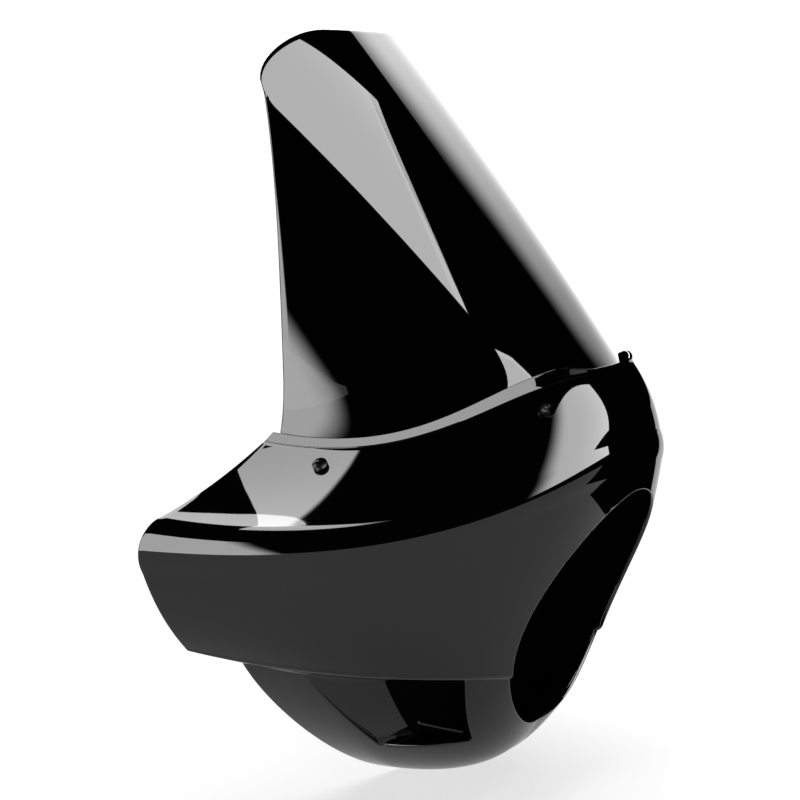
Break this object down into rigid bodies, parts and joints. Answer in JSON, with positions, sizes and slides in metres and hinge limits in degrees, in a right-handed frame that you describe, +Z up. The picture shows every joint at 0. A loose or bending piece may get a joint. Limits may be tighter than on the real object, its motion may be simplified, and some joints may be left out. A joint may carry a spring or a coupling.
{
  "type": "headlight cowl",
  "caption": "Gloss black headlight cowl with a round lamp opening, a recess in each side of its chin and a tall wrapped screen, held on by pan-head screws.",
  "frame": {"origin": "centre of the round lamp opening", "axes": "-Y forward, the way the lamp faces; +X to the rider's left; +Z up"},
  "size_m": [0.4426, 0.3083, 0.579],
  "materials": {
    "shell": "gloss black moulded plastic",
    "screen": "gloss black opaque sheet",
    "screw": "black oxide steel",
    "spacer": "black rubber",
    "washer": "black nylon",
    "nut": "zinc plated steel",
    "insert": "knurled brass"
  },
  "bodies": {
    "root": {"shell": "shell", "screen": "screen", "screw_front_left": "screw", "screw_front_right": "screw", "screw_rear_left": "screw", "screw_rear_right": "screw", "spacer_front_left": "spacer", "spacer_front_right": "spacer", "spacer_rear_left": "spacer", "spacer_rear_right": "spacer", "washer_front_left": "washer", "washer_front_right": "washer", "washer_rear_left": "washer", "washer_rear_right": "washer", "nut_front_left": "nut", "nut_front_right": "nut", "nut_rear_left": "nut", "nut_rear_right": "nut", "insert_upper_left": "insert", "insert_upper_right": "insert", "insert_lower_left": "insert", "insert_lower_right": "insert"}
  },
  "joints": []
}
